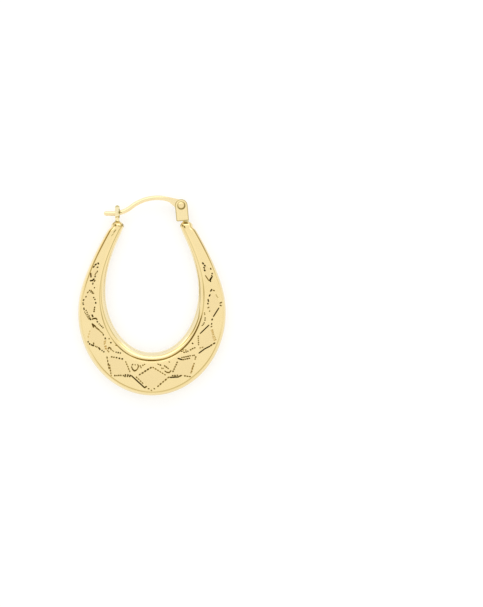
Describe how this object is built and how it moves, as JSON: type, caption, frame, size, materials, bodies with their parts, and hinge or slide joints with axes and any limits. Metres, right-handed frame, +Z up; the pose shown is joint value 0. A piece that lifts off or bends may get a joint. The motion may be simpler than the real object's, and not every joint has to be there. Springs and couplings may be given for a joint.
{
  "type": "creole hoop earring",
  "caption": "Hollow gold crescent hoop earring with an engraved lozenge front and a hinged ear wire that closes in a forked catch.",
  "frame": {"origin": "on the surface that the earring lies on, under the middle of its outline", "axes": "+Z up out of the engraved front, +Y from the crescent's bottom to the ear wire, +X towards the hinge"},
  "size_m": [0.0206, 0.028, 0.003],
  "materials": {
    "gold_body": "polished yellow gold, with satin lozenges cut into the front",
    "gold_wire": "polished drawn yellow gold wire",
    "gold_rivet": "polished yellow gold"
  },
  "bodies": {
    "body": {"hoop": "gold_body", "hinge_rivet": "gold_rivet"},
    "wire": {"ear_wire": "gold_wire"}
  },
  "joints": [
    {"name": "wire_hinge", "type": "hinge", "parent": "body", "child": "wire", "pos_m": [0.00411, 0.0126, 0.0015], "axis": [0, 0, -1], "range_deg": [0, 110]}
  ]
}
